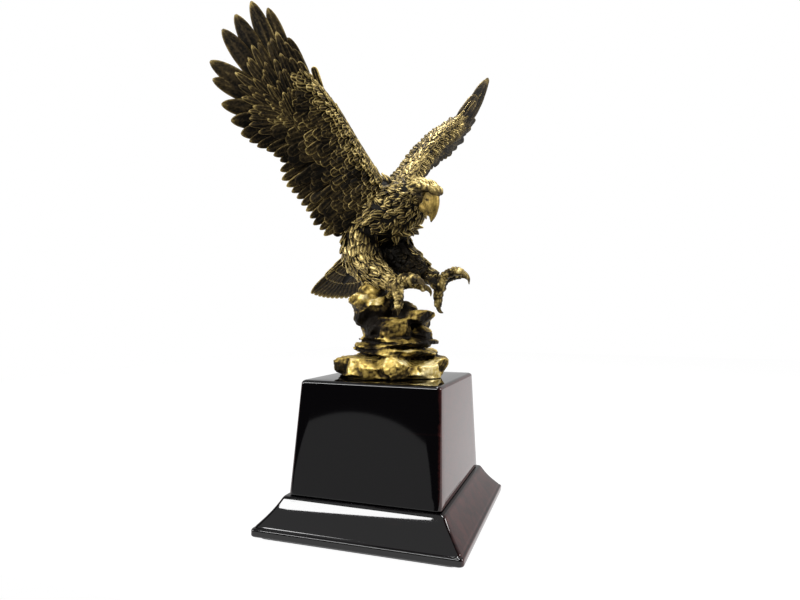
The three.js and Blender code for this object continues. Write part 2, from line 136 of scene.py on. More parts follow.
def remeshed(p, voxel, smoothing):
    """Welds overlapping closed parts into one even skin, and smooths it."""
    obj = bpy.data.objects.new("rough", to_mesh("rough", p))
    bpy.context.collection.objects.link(obj)
    weld = obj.modifiers.new("weld", "REMESH")
    weld.mode = "VOXEL"
    weld.voxel_size = voxel * MM
    if smoothing:
        soften = obj.modifiers.new("soften", "SMOOTH")
        soften.factor = 0.5
        soften.iterations = smoothing
    skin = bpy.data.meshes.new_from_object(obj.evaluated_get(bpy.context.evaluated_depsgraph_get()))
    bpy.data.objects.remove(obj)
    co = np.empty(len(skin.vertices) * 3)
    skin.vertices.foreach_get("co", co)
    faces = [tuple(f.vertices) for f in skin.polygons]
    quads = [f for f in faces if len(f) == 4]
    tris = [f for f in faces if len(f) == 3]
    bpy.data.meshes.remove(skin)
    return part(co.reshape(-1, 3) / MM, quads, tris)


def normals_of(p):
    verts, out = p["verts"], np.zeros_like(p["verts"])
    for faces in (p["quads"], p["tris"]):
        if len(faces) == 0:
            continue
        a, b, c = verts[faces[:, 0]], verts[faces[:, 1]], verts[faces[:, 2]]
        face_normal = np.cross(b - a, c - a)
        for corner in range(faces.shape[1]):
            np.add.at(out, faces[:, corner], face_normal)
    return out / (np.linalg.norm(out, axis=1, keepdims=True) + 1e-12)


def edges_of(p):
    loops = [p["quads"][:, [i, (i + 1) % 4]] for i in range(4)]
    loops += [p["tris"][:, [i, (i + 1) % 3]] for i in range(3)]
    return np.unique(np.sort(np.concatenate(loops), axis=1), axis=0)


def relief(p, passes):
    """How far each vertex stands out of the smoothed surface, in mm."""
    edges = edges_of(p)
    count = np.bincount(edges.ravel(), minlength=len(p["verts"]))[:, None]
    smooth = p["verts"].copy()
    for _ in range(passes):
        total = np.zeros_like(smooth)
        np.add.at(total, edges[:, 0], smooth[edges[:, 1]])
        np.add.at(total, edges[:, 1], smooth[edges[:, 0]])
        smooth = 0.5 * smooth + 0.5 * total / np.maximum(count, 1)
    return ((p["verts"] - smooth) * normals_of(p)).sum(1)


def rough(points, size, seed):
    """Smooth noise between -1 and 1 with features of the given size in mm."""
    shift = Vector((seed * 17.3, seed * 5.1, seed * 9.7))
    return np.array([noise.noise(Vector(q) / size + shift) for q in points])


def knobs(points, size, seed):
    """Rounded cells between 0 at their borders and 1 at their centres."""
    shift = Vector((seed * 3.1, seed * 7.7, seed * 1.9))
    out = np.empty(len(points))
    for i, q in enumerate(points):
        near = noise.voronoi(Vector(q) / size + shift)[0]
        out[i] = near[1] - near[0]
    return np.clip(out * 1.8, 0, 1)


def unit(v):
    v = np.asarray(v, float)
    return v / (np.linalg.norm(v, axis=-1, keepdims=True) + 1e-12)


# ---------- limbs ----------

def smooth_path(points, count):
    """Points evenly placed in parameter along a Catmull-Rom curve through the stations."""
    points = np.asarray(points, float)
    padded = np.vstack([2 * points[0] - points[1], points, 2 * points[-1] - points[-2]])
    out = []
    for x in np.linspace(0, len(points) - 1, count):
        i = min(int(x), len(points) - 2)
        t = x - i
        a, b, c, d = padded[i:i + 4]
        out.append(0.5 * (2 * b + (c - a) * t + (2 * a - 5 * b + 4 * c - d) * t ** 2
                          + (3 * b - a - 3 * c + d) * t ** 3))
    return np.array(out)


def limb(stations, rings=24, sides=20, flat=1.0, rub_and_painted_light=0.0):
    """A closed round bar through stations [x, y, z, radius]; flat squeezes it sideways."""
    path = smooth_path(stations, rings)
    centre, radius = path[:, :3], np.maximum(path[:, 3], 0.05)
    tangent = unit(np.gradient(centre, axis=0))
    overall = unit(centre[-1] - centre[0])
    side_hint = np.array([0.0, 1.0, 0.0]) if abs(overall[1]) < 0.7 else np.array([0.0, 0.0, 1.0])
    across = unit(side_hint - tangent * (tangent @ side_hint)[:, None])
    upward = np.cross(across, tangent)
    dome = [(0.85, 0.5), (0.5, 0.85)]
    start = [(-lift * radius[0], shrink, 0) for lift, shrink in dome]
    end = [(lift * radius[-1], shrink, len(centre) - 1) for lift, shrink in dome[::-1]]
    angle = np.linspace(0, 2 * math.pi, sides, endpoint=False)
    verts = []
    for shift, shrink, i in start + [(0.0, 1.0, i) for i in range(len(centre))] + end:
        middle = centre[i] + tangent[i] * shift
        ring = np.cos(angle)[:, None] * across[i] * flat + np.sin(angle)[:, None] * upward[i]
        verts.append(middle + ring * radius[i] * shrink)
    poles = [centre[0] - tangent[0] * radius[0], centre[-1] + tangent[-1] * radius[-1]]
    return tube(np.concatenate(verts), sides, poles, rub_and_painted_light)


# ---------- feathers ----------

# Each style is a feather's outline and section. root is its width at the root as a share of
# the full width, tip_from is where it starts to close, and lengths and heights are in mm.
STYLES = {
    "flight": dict(rows=34, columns=11, root=0.4, tip_from=0.7, tip_power=1.8, crown=0.6, rim=0.25,
                   shaft=0.5, groove=0.34, pitch=1.7, thickness=1.5, both=True),
    "pointed": dict(rows=12, columns=9, root=0.5, tip_from=0.5, tip_power=2.0, crown=0.5, rim=0.2,
                    shaft=0.3, groove=0.22, pitch=1.5, thickness=0.9, both=False),
    "covert": dict(rows=14, columns=9, root=0.5, tip_from=0.76, tip_power=2.2, crown=0.35, rim=0.25,
                   shaft=0.2, groove=0.15, pitch=1.5, thickness=0.9, both=False),
    "scale": dict(rows=8, columns=7, root=0.6, tip_from=0.62, tip_power=2.2, crown=0.6, rim=0.16,
                  shaft=0.18, groove=0.06, pitch=1.1, thickness=0.8, both=False),
    "lance": dict(rows=9, columns=7, root=0.55, tip_from=0.3, tip_power=1.5, crown=0.7, rim=0.14,
                  shaft=0.35, groove=0.16, pitch=1.2, thickness=0.9, both=False),
}


def blade_grid(rows, columns):
    """Faces of a closed blade: a top grid and a bottom grid that share their rim."""
    top = np.arange(rows * columns).reshape(rows, columns)
    bottom = top.copy()
    inner = (rows - 2) * (columns - 2)
    bottom[1:-1, 1:-1] = rows * columns + np.arange(inner).reshape(rows - 2, columns - 2)

    def quads(grid):
        return np.stack([grid[:-1, :-1], grid[1:, :-1], grid[1:, 1:], grid[:-1, 1:]], -1).reshape(-1, 4)

    return np.concatenate([quads(top), quads(bottom)[:, ::-1]])


def feathers(style, origin, along, normal, length, width, lift=0.0, curl=0.0, shine=1.0, twist=0.0):
    """Many feathers of one style at once, each with its root, direction and facing. shine is how
    far the raised rim and quill are rubbed bright."""
    s = STYLES[style]
    rows, columns = s["rows"], s["columns"]
    origin = np.atleast_2d(origin)
    count = len(origin)
    length, width, lift, curl, shine, twist = (
        np.broadcast_to(np.asarray(x, float), (count,)) for x in (length, width, lift, curl, shine, twist))
    normal = unit(np.broadcast_to(normal, origin.shape))
    along = unit(np.broadcast_to(along, origin.shape))
    along = unit(along - normal * (along * normal).sum(1, keepdims=True))
    side = np.cross(normal, along)

    # u runs from root to tip, closer set near the tip, and t from one side of the vane to the other.
    even = np.linspace(0, 1, rows)
    u = (0.4 * even + 0.6 * np.sin(even * math.pi / 2))[:, None]
    t = np.linspace(-1, 1, columns)[None, :]
    rise = s["root"] + (1 - s["root"]) * np.sin(np.clip(u / 0.45, 0, 1) * math.pi / 2)
    late = np.clip((u - s["tip_from"]) / (1 - s["tip_from"]), 0, 1)
    fall = np.maximum(1 - late ** s["tip_power"], 0) ** (1 / s["tip_power"])
    half = 0.5 * width[:, None, None] * np.maximum(rise * fall, 0.1)[None]
    x = length[:, None, None] * u[None]
    y = half * t[None]

    edge = np.exp(-((1 - np.abs(t)) / 0.2) ** 2) + np.exp(-((1 - u) / 0.06) ** 2)
    edge = np.minimum(edge, 1) * np.clip(u / 0.3, 0, 1)
    quill = np.exp(-(t / 0.16) ** 2) * (1 - u) ** 0.35
    phase = (x + 1.1 * np.abs(y)) / s["pitch"]
    barb = (0.5 + 0.5 * np.cos(2 * math.pi * phase)) * (1 - np.minimum(edge + quill, 1))[None]
    detail = (s["rim"] * edge + s["shaft"] * quill)[None] - s["groove"] * barb
    crown = s["crown"] * (1 - t ** 2) * np.clip(u / 0.2, 0, 1)
    thick = s["thickness"] * (1 - np.abs(t) ** 6) * (0.35 + 0.65 * (1 - u))
    sweep = np.tan(lift)[:, None, None] * x + curl[:, None, None] * length[:, None, None] * u[None] ** 2
    sweep = sweep + np.tan(twist)[:, None, None] * y

    if s["both"]:
        top = sweep + crown[None] * 0.5 + detail + 0.3 * thick
        under = sweep - crown[None] * 0.1 - detail - 0.7 * thick
    else:
        top = sweep + crown[None] + detail
        under = sweep - thick
    glow = 0.2 + 0.6 * edge + 0.45 * quill + 0.28 * u
    rub_top = shine[:, None, None] * (glow[None] - 0.3 * barb)
    rub_top = np.clip(rub_top, 0, 1) * np.clip(u / 0.35, 0, 1)[None]
    rub_under = rub_top if s["both"] else 0.3 * rub_top

    def place(z):
        local = np.stack([x + 0 * z, y + 0 * z, z], -1)
        axes = np.stack([along, side, normal], 1)
        return np.einsum("nijk,nkl->nijl", local, axes) + origin[:, None, None, :]

    rim_height = 0.5 * (top + under)
    rim_mask = np.zeros((rows, columns), bool)
    rim_mask[[0, -1], :] = True
    rim_mask[:, [0, -1]] = True
    top = np.where(rim_mask[None], rim_height, top)
    v_top = place(top).reshape(count, -1, 3)
    v_under = place(under)[:, 1:-1, 1:-1].reshape(count, -1, 3)
    verts = np.concatenate([v_top, v_under], 1)
    rub_and_painted_light = np.concatenate([rub_top.reshape(count, -1), rub_under[:, 1:-1, 1:-1].reshape(count, -1)], 1)
    grid = blade_grid(rows, columns)
    quads = grid[None] + (np.arange(count) * verts.shape[1])[:, None, None]
    return part(verts.reshape(-1, 3), quads.reshape(-1, 4), rub_and_painted_light=rub_and_painted_light.ravel())


# ---------- wings ----------

WINGS = {
    "right": dict(shoulder=(0, -10, 213), span=(-0.015, -0.699, 0.714), chord=(-0.62, -0.554, -0.554),
                  hand_stretch=1.0, width=1.0, tip_width=1.0, hand_twist=-0.1),
    "left": dict(shoulder=(-1, 9.5, 218), span=(0, 0.69, 0.724), chord=(-0.741, 0.473, -0.477),
                 hand_stretch=1.16, width=0.66, tip_width=0.86, hand_twist=0.9),
}
WRIST = 65.0
REACH = 119.0
ARM_BOW = 3.0
TIP_SWEEP = 6.0
PRIMARY_TIPS = [(94, 0.8), (112, 1.0), (119.5, 6.5), (REACH, 18), (117, 28.7), (108, 45), (100, 50),
                (87, 54.5), (77, 56), (68, 56)]
PRIMARY_ROOTS = [6, 14, 21, 25, 26, 23, 20, 19, 18, 17]
PRIMARY_WIDTHS = [6, 8.5, 10, 11, 11, 11, 10.5, 10.5, 10.5, 10.5]
SECONDARIES = 16

# Leading edge of the arm, its radius, and where the coverts end, at some spans along the wing.
SPANS = [-14, 0, 20, 44, 65, 76]
LEAD = [3, 2, 1.5, 0, 1.5, 7]
ARM_RADIUS = [7.6, 7.4, 6.4, 5.4, 4.0, 2.6]
COVERT_END = [40, 38, 36, 33, 30, 22]


def along_span(values, span):
    return np.interp(span, SPANS, values)


def wing_skin(span, reach):
    """A point of the flat wing's skin. reach runs from the leading edge (0) to the end of the
    coverts (1) on the underside, and to -1 on the back."""
    lead, radius = along_span(LEAD, span), along_span(ARM_RADIUS, span)
    chord = along_span(COVERT_END, span) - lead
    back = np.abs(reach) * chord
    round_part = radius * np.sqrt(np.clip(1 - (1 - np.clip(back / radius, 0, 1)) ** 2, 0, 1))
    flat_part = 1.8 + (radius - 1.8) * (1 - np.clip((back - radius) / (chord - radius), 0, 1)) ** 1.6
    height = np.where(back < radius, round_part, flat_part)
    return np.stack([span + 0 * back, lead + back, np.sign(reach) * height], -1)


def skin_frame(span, reach):
    """Points of the flat wing's skin and the outward normals there."""
    e = 1e-3
    point = wing_skin(span, reach)
    on_span = wing_skin(span + e, reach) - wing_skin(span - e, reach)
    on_reach = wing_skin(span, reach + e) - wing_skin(span, reach - e)
    normal = unit(np.cross(on_span, on_reach))
    inside = np.stack([point[..., 0], point[..., 1] + 6, 0 * span], -1)
    outward = np.sign((normal * (point - inside)).sum(-1))
    return point, normal * np.where(outward == 0, 1, outward)[..., None]


def wing_core():
    """The arm and the membrane behind it, as a closed aerofoil."""
    spans = np.linspace(SPANS[0], SPANS[-1], 30)
    reach = np.concatenate([-np.linspace(1, 0.001, 14) ** 1.6, np.linspace(0.001, 1, 14) ** 1.6])
    rows = [wing_skin(np.full(len(reach), x), reach) for x in spans]
    poles = [rows[0].mean(0), rows[-1].mean(0)]
    return flipped(tube(np.concatenate(rows), len(reach), poles))


def fan_angle(span):
    """Angle from the span axis to the feathers: square near the body, fanned at the hand."""
    return np.radians(np.interp(span, [0, 40, 55, 62, 68, 74, 80], [91, 84, 74, 62, 45, 25, 8]))


COVERT_LIFT = 0.15


def covert_row(reach, length, width, style, side, shine):
    """One row of small feathers along the wing on one face (side 1 underneath, -1 on the back)."""
    steps = np.arange(-12.0, min(72.0, 77 - 38 * reach), width * 0.8)
    n = len(steps)
    steps = steps + rng.uniform(-0.12, 0.12, n) * width
    reach = reach + rng.uniform(-0.02, 0.02, n) * (1 if reach > 0.05 else 0.4)
    point, normal = skin_frame(steps, side * reach)
    angle = fan_angle(steps) + rng.normal(0, 0.13, n)
    along = np.stack([np.cos(angle), np.sin(angle), 0 * angle], -1)
    length = length * rng.uniform(0.8, 1.15, n)
    breadth = width * rng.uniform(0.95, 1.12, n)
    twist = rng.normal(0, 0.08, n)
    shine = shine * rng.uniform(0.55, 1.2, n)
    return feathers(style, point - 0.25 * normal, along, normal, length, breadth,
                    lift=COVERT_LIFT, twist=twist, shine=shine)


def primary_roots():
    return np.stack([WRIST - 1.6 * np.arange(10), np.array(PRIMARY_ROOTS, float)], -1)


def primary_lines():
    """Roots, directions and lengths of the primaries, with one more line between each two."""
    place = np.linspace(0, 9, 19)

    def with_halfways(points):
        return np.stack([np.interp(place, np.arange(10), values) for values in points.T], -1)

    root = with_halfways(primary_roots())
    tip = with_halfways(np.array(PRIMARY_TIPS, float))
    return root, unit(tip - root), np.linalg.norm(tip - root, axis=1)


def hand_coverts(start, length, width, height, shine):
    """A layer of long coverts over the bases of the primaries, below (height > 0) or above them."""
    root, way, reach = primary_lines()
    n = len(root)
    length = length * reach / 52
    along = np.hstack([way, np.zeros((n, 1))])
    origin = np.hstack([root, np.full((n, 1), height)]) + along * start
    return feathers("pointed", origin, along + rng.normal(0, 0.05, (n, 3)), (0, 0, np.sign(height)),
                    length * rng.uniform(0.85, 1.12, n), width, lift=0.02, curl=-0.02,
                    shine=shine * rng.uniform(0.7, 1.1, n))


def flight_feathers(hand_twist):
    """Ten primaries fanned at the hand and the secondaries behind the arm."""
    step = np.linspace(0, 1, SECONDARIES)
    notch = 6 * np.exp(-((step - 0.22) / 0.14) ** 2)
    inner_roots = np.stack([50 - 58 * step, np.full(SECONDARIES, 15.0)], -1)
    inner_tips = np.stack([62 - 72 * step, 54.5 - notch + rng.uniform(-2, 1, SECONDARIES)], -1)
    roots = np.vstack([primary_roots(), inner_roots])
    way = np.vstack([PRIMARY_TIPS, inner_tips]) - roots
    length = np.linalg.norm(way, axis=1)
    height = rng.uniform(-0.4, 0.6, len(roots))[:, None]
    along = np.hstack([way / length[:, None], np.zeros((len(roots), 1))])
    width = np.concatenate([PRIMARY_WIDTHS, np.full(SECONDARIES, 7.4)])
    shine = np.concatenate([np.full(10, 0.52), rng.uniform(0.45, 0.75, SECONDARIES)])
    fading = np.clip(1 - np.arange(10) / 6, 0, 1)
    twist = np.concatenate([hand_twist * fading - 0.1 * (1 - fading), np.full(SECONDARIES, -0.14)])
    return feathers("flight", np.hstack([roots, height]), along, (0, 0, 1), length, width, twist=twist,
                    shine=shine)


def leading_edge():
    """Small feathers that lie along the front of the arm and cover the seam of the two faces."""
    parts = []
    spacing = np.arange(-12.0, 73.0, 2.1)
    for offset in (-2.6, 2.6, 0.0):
        steps = spacing + rng.uniform(-0.6, 0.6, len(spacing))
        radius = along_span(ARM_RADIUS, steps)
        height = offset * radius / 7 + rng.uniform(-0.5, 0.5, len(steps))
        back = radius - np.sqrt(radius ** 2 - height ** 2)
        origin = np.stack([steps, along_span(LEAD, steps) + back + 0.2, height], -1)
        along = np.stack([np.ones_like(steps), 0.15 + 0 * steps, rng.normal(0, 0.3, len(steps))], -1)
        facing = np.stack([0 * steps, -np.ones_like(steps), height / radius], -1)
        parts.append(feathers("scale", origin, along, facing, 5.5, 5.0 * radius / 7, lift=0.14, curl=-0.08,
                              shine=rng.uniform(1.0, 1.7, len(steps))))
    return merged(parts)


# Rows of coverts from the edge of the membrane forwards: reach, length, width, shine.
COVERT_ROWS = [
    (0.72, 19, 6.4, 0.5), (0.62, 15, 6.0, 0.56), (0.52, 12.5, 5.6, 0.66), (0.43, 11, 5.4, 0.74),
    (0.34, 9.5, 5.0, 0.8), (0.26, 8.5, 4.8, 0.88), (0.19, 7.5, 4.4, 1.0), (0.13, 6.5, 4.0, 1.15),
    (0.08, 6, 3.8, 1.3), (0.035, 5.2, 3.4, 1.5),
]
HAND_ROWS = [(9, 29, 5.4, 0.7), (5, 23, 5.0, 0.75), (0, 18, 4.6, 0.8), (-5, 14, 4.2, 0.85)]


def flat_wing(hand_twist):
    parts = [wing_core(), flight_feathers(hand_twist), leading_edge()]
    for side in (1, -1):
        for layer, (start, length, width, shine) in enumerate(HAND_ROWS):
            parts.append(hand_coverts(start, length, width, side * (1.2 + 0.45 * layer), shine))
        for reach, length, width, shine in COVERT_ROWS:
            style = "covert" if reach > 0.3 else "scale"
            parts.append(covert_row(reach, length, width, style, side, shine))
    alula = feathers("covert", np.array([[58.0, 3.0, 0.0], [63.0, 2.0, 0.6]]), (0.95, -0.3, 0), (0, 0, 1),
                     np.array([17.0, 12.0]), 3.6, shine=1.0)
    return merged(parts + [alula])


def raised_wing(word):
    w = WINGS[word]
    p = flat_wing(w["hand_twist"])
    verts = p["verts"].copy()
    bow = ARM_BOW * np.sin(math.pi * np.clip(verts[:, 0] / WRIST, 0, 1))
    beyond = np.maximum(0, verts[:, 0] - WRIST)
    outer = beyond / (REACH - WRIST)
    verts[:, 0] += (w["hand_stretch"] - 1) * beyond
    verts[:, 1] *= w["width"] + (w["tip_width"] - w["width"]) * outer
    verts[:, 2] -= bow + TIP_SWEEP * outer ** 2
    span = unit(w["span"])
    chord = np.array(w["chord"], float)
    chord = unit(chord - span * (chord @ span))
    underside = np.cross(span, chord)
    if word == "left":
        underside = -underside
        p = flipped(p)
    axes = np.stack([span, chord, underside])
    placed = {**p, "verts": verts @ axes + np.array(w["shoulder"])}
    return turned_about_z(placed, HEADING)


# ---------- body and head ----------

TRUNK = [(-40, 0, 171, 8), (-26, 0, 178, 13), (-8, 0, 189, 18), (10, 0, 194, 14.5), (21, 0, 196, 11.2),
         (28, 0, 196.5, 7.5), (32, 0, 196, 4.5)]
UNDER_TAIL = [(-22, 0, 172, 12), (-41, 0, 163, 7.5)]
RIGHT_LEG = [(-22, -8, 180, 13.5), (-19, -12, 165, 12.5), (-11, -12, 155, 10.5), (2, -12, 149, 7),
             (9.5, -11.6, 146, 4.4)]
LEFT_LEG = [(-20, 9, 180, 12.5), (-13, 11, 166, 12.5), (-2, 12, 158, 10.5), (12, 12, 152, 6.5),
            (22.5, 12, 148.5, 4.2)]


def body_base():
    shoulders = [limb([(-3, 0, 198, 13), (-5, y, 202, 10)]) for y in (-8, 8)]
    limbs = [limb(TRUNK), limb(UNDER_TAIL), limb(RIGHT_LEG), limb(LEFT_LEG)]
    return remeshed(merged(limbs + shoulders), 0.8, 12)


def openness(skin, points, normals):
    """Share of the directions off the surface that see past the rest of the skin."""
    faces = skin["quads"].tolist() + skin["tris"].tolist()
    tree = BVHTree.FromPolygons(skin["verts"].tolist(), faces)
    turns = rng.normal(size=(14, 3))
    free = np.zeros(len(points))
    for i, (q, n) in enumerate(zip(points, normals)):
        start = Vector(q + 1.5 * n)
        rays = unit(unit(turns) + 1.1 * n)
        free[i] = np.mean([tree.ray_cast(start, Vector(r), 45.0)[0] is None for r in rays])
    return free


def spread_points(p, spacing):
    """Points scattered over a skin, no closer than spacing(point) to each other."""
    quads = p["quads"]
    centre = p["verts"][quads].mean(1)
    a, b, c = (p["verts"][quads[:, i]] for i in range(3))
    face_normal = np.cross(b - a, c - a)
    area = np.linalg.norm(face_normal, axis=1)
    order = rng.choice(len(quads), size=min(len(quads), 16000), replace=False, p=area / area.sum())
    gap = spacing(centre)
    cell = gap.max()
    kept, buckets = [], {}
    for f in order:
        q = centre[f]
        key = tuple((q // cell).astype(int))
        near = [k for dx in (-1, 0, 1) for dy in (-1, 0, 1) for dz in (-1, 0, 1)
                for k in buckets.get((key[0] + dx, key[1] + dy, key[2] + dz), ())]
        if all(((centre[k] - q) ** 2).sum() > gap[f] ** 2 for k in near):
            kept.append(f)
            buckets.setdefault(key, []).append(f)
    kept = np.array(kept)
    return centre[kept], unit(face_normal[kept])


def flow_at(points):
    """The way feathers lie: back along the trunk, down the legs."""
    total = np.zeros_like(points)
    for line, way in ((TRUNK, -1), (UNDER_TAIL, 1), (RIGHT_LEG, 1), (LEFT_LEG, 1)):
        path = smooth_path(line, 24)
        tangent = unit(np.gradient(path[:, :3], axis=0)) * way
        apart = np.linalg.norm(points[:, None] - path[None, :, :3], axis=2)
        depth = np.maximum(apart - path[None, :, 3], 0.4)
        weight = 1 / depth ** 3
        total += (weight[:, :, None] * tangent[None]).sum(1)
    return unit(total)


HEAD_CENTRE = np.array([31.0, 0, 198])


def plumage(base):
    """Feathers over the body: shaggy pointed ones on the neck, rounded ones on back and thighs."""
    def size_at(points):
        from_head = np.linalg.norm(points - HEAD_CENTRE, axis=1)
        on_leg = np.clip((172 - points[:, 2]) / 14, 0, 1)
        neck = np.interp(from_head, [6, 14, 24, 40, 60], [1.6, 2.3, 3.1, 3.5, 3.5])
        return neck * (1 - on_leg) + 2.9 * on_leg

    points, normal = spread_points(base, size_at)
    crown = (points[:, 0] > 21) & (points[:, 2] > 199.5)
    gape = np.linalg.norm(np.abs(points) - np.array([31.0, 4.6, 187.8]), axis=1) < 3.8
    muzzle = (points[:, 0] > 34) & (np.abs(points[:, 1]) < 5)
    face = crown | gape | muzzle
    points, normal = points[~face], normal[~face]
    size = size_at(points)
    from_head = np.linalg.norm(points - HEAD_CENTRE, axis=1)
    neck = (from_head < 44) & (points[:, 2] > 173)
    unrest = np.where(neck & (from_head > 12), 0.6, 0.25)
    flow = flow_at(points) + rng.normal(0, 1, points.shape) * unrest[:, None]
    # Painted shade and wear: open, exposed feathers get more gold, feathers in recesses less.
    gilt = 0.05 + 1.6 * openness(base, points, normal) ** 2.2
    # Painted shadow: the inner side of the far thigh, between the legs, is darkened further.
    shadow_between_legs = (points[:, 1] > 0) & (points[:, 2] < 174) & (normal[:, 1] < -0.1)
    gilt = np.where(shadow_between_legs, 0.3 * gilt, gilt)
    parts = []
    for mask, style, stretch, breadth in ((neck, "lance", 2.4, 1.5), (~neck, "scale", 2.3, 1.45)):
        n = mask.sum()
        lift = rng.uniform(0.12, 0.45, n) if style == "lance" else rng.uniform(0.15, 0.42, n)
        parts.append(feathers(
            style, points[mask] - 0.3 * normal[mask], flow[mask], normal[mask],
            size[mask] * stretch * rng.uniform(0.8, 1.2, n), size[mask] * breadth,
            lift=lift, curl=rng.uniform(-0.3, -0.05, n), twist=rng.normal(0, 0.25, n),
            shine=gilt[mask] * rng.uniform(0.6, 1.25, n)))
    return merged(parts)


BEAK = [(33.6, 0, 194.8, 6.8), (35.2, 0, 191, 5.8), (35.9, 0, 187.2, 4.5), (36.0, 0, 183.6, 2.8),
        (35, 0, 180, 0.6)]
LOWER_BEAK = [(28.5, 0, 190.6, 4.4), (31.4, 0, 187.6, 3.2), (33.2, 0, 184.8, 1.5)]


def mirrored(stations, side):
    return [(x, side * y, z, r) for x, y, z, r in stations]


def dent(p, line, radius, depth, painted_shade):
    """Presses a groove along a line of points into a skin and darkens it with painted shade."""
    path = smooth_path([(*q, 0) for q in line], 24)[:, :3]
    apart = np.linalg.norm(p["verts"][:, None] - path[None], axis=2).min(1)
    weight = np.exp(-(apart / radius) ** 2)
    p["verts"] = p["verts"] - normals_of(p) * (depth * weight)[:, None]
    p["rub_and_painted_light"] = p["rub_and_painted_light"] * (1 - painted_shade * weight)


def head():
    """Flat gilded crown and brows over deep-set eyes, with painted top light on up-facing faces and painted
    shade in the eye sockets.
    """
    skull = [(17, 0, 198, 10.2), (26, 0, 198.6, 9.4), (33, 0, 198.4, 7.2), (37, 0, 197.6, 4.8)]
    brow = [(24, 7.0, 201.4, 2.0), (30, 6.9, 201.4, 2.3), (35.5, 5.6, 199.4, 2.3), (39.6, 3.2, 197.0, 1.7)]
    limbs = [limb(skull, flat=0.95), limb(brow), limb(mirrored(brow, -1))]
    base = remeshed(merged(limbs), 0.35, 3)
    verts = base["verts"]
    upward = normals_of(base)[:, 2]
    # Painted top light: faces that look up are made brighter.
    base["rub_and_painted_light"] = np.clip(0.62 + 0.3 * upward + 0.25 * rough(verts, 3.5, 5), 0, 1)
    crown = np.clip((verts[:, 2] - 197) / 3, 0, 1) * np.clip((41 - verts[:, 0]) / 3, 0, 1)
    grain = np.sin(2 * math.pi * (verts[:, 1] / 1.5 + 0.5 * rough(verts, 3, 6)))
    push = crown * (0.22 * grain + 0.4 * rough(verts, 2.0, 7))
    base["verts"] = verts + normals_of(base) * push[:, None]
    base["rub_and_painted_light"] = np.clip(base["rub_and_painted_light"] + crown * 0.3 * grain, 0, 1)
    eyes = []
    for side in (-1, 1):
        socket = [(31, side * 6.3, 196.4), (36.4, side * 4.9, 195.4)]
        dent(base, socket, 1.3, 1.2, 0.95)
        eye = [(33.4, side * 5.6, 196.0, 1.2), (33.6, side * 5.8, 195.9, 1.1)]
        eyes.append(limb(eye, rings=8, rub_and_painted_light=0.5))
    return merged([base] + eyes)


def beak():
    """Heavy hooked beak, smooth and gilded, with its gape line and nostrils."""
    limbs = [limb(BEAK, rings=40, sides=28, flat=0.72), limb(LOWER_BEAK, rings=24, sides=20, flat=0.9)]
    base = remeshed(merged(limbs), 0.3, 3)
    base["rub_and_painted_light"] = np.clip(0.5 + 0.25 * rough(base["verts"], 5, 5), 0, 1)
    for side in (-1, 1):
        gape = [(24, side * 6.6, 191.4), (29, side * 5.4, 189.6), (34.0, side * 3.0, 184.6)]
        nostril = [(35.4, side * 3.9, 192.4), (36.4, side * 3.5, 191.9)]
        dent(base, gape, 0.8, 1.4, 1.0)
        dent(base, nostril, 0.6, 0.6, 0.9)
    return base


# ---------- tail ----------

TAIL_ROOT = np.array([-38.0, 0.0, 171.0])
TAIL_DROOP = math.radians(43)
TAIL_LENGTH = 50.0
TAIL_SPREAD = math.radians(25)


def tail_fan():
    out = np.array([-math.cos(TAIL_DROOP), 0, -math.sin(TAIL_DROOP)])
    left = np.array([0.0, 1.0, 0.0])
    back = np.array([-math.sin(TAIL_DROOP), 0, math.cos(TAIL_DROOP)])
    parts = [limb([tuple(TAIL_ROOT) + (6.5,), tuple(TAIL_ROOT + 18 * out) + (5.0,),
                   tuple(TAIL_ROOT + 32 * out) + (2.2,)])]
    angle = np.linspace(-TAIL_SPREAD, TAIL_SPREAD, 12)
    way = np.cos(angle)[:, None] * out + np.sin(angle)[:, None] * left
    lift = -0.7 * np.abs(np.linspace(-1, 1, 12))[:, None] * back
    parts.append(feathers("flight", TAIL_ROOT + lift, way, back, TAIL_LENGTH, 9.5, twist=0.05, shine=0.7))
    for face in (1, -1):
        for start, length, count in ((14, 20, 9), (8, 17, 8), (2, 14, 7)):
            angle = np.linspace(-TAIL_SPREAD, TAIL_SPREAD, count) * 1.1
            way = np.cos(angle)[:, None] * out + np.sin(angle)[:, None] * left
            root = TAIL_ROOT + start * way + face * back * np.interp(start, [0, 14], [5.0, 2.2])
            parts.append(feathers("covert", root, way, face * back, length, 6.0, lift=-0.06, shine=0.8))
    return turned_about_z(merged(parts), HEADING)


# ---------- feet ----------

RIGHT_TOES = [
    [(8.5, -11.7, 146.8, 4.2), (16, -11, 141, 4.2)],
    [(16, -11, 141, 3.3), (24, -11, 146, 3.1), (34, -11.5, 145, 2.7), (37.5, -11.8, 144.2, 2.3)],
    [(16, -11, 141, 3.3), (20, -12, 135, 2.9), (20.5, -12.5, 130, 2.4)],
    [(16, -11, 141, 3.2), (22, -4, 143.5, 2.7), (29, 0, 141, 2.2)],
    [(15, -11, 140, 3.0), (8, -9, 137, 2.4)],
]
RIGHT_CLAWS = [
    [(36, -11.7, 144.5, 2.1), (40, -12, 143.8, 1.7), (42.8, -12, 141.6, 1.1), (43.6, -12, 138.8, 0.3)],
    [(20.5, -12.5, 131, 2.1), (21, -12.6, 128.5, 1.7), (20.5, -12.5, 126.2, 1.1), (19.6, -12.4, 124.2, 0.3)],
    [(28, -0.3, 141.5, 2.0), (32, 0.6, 140.2, 1.6), (34, 1, 138, 1.0), (34.2, 1, 135.8, 0.3)],
    [(9, -9.3, 137.6, 2.1), (6, -8.5, 136.2, 1.6), (4.2, -8, 134, 1.0), (3.8, -8, 132, 0.3)],
]
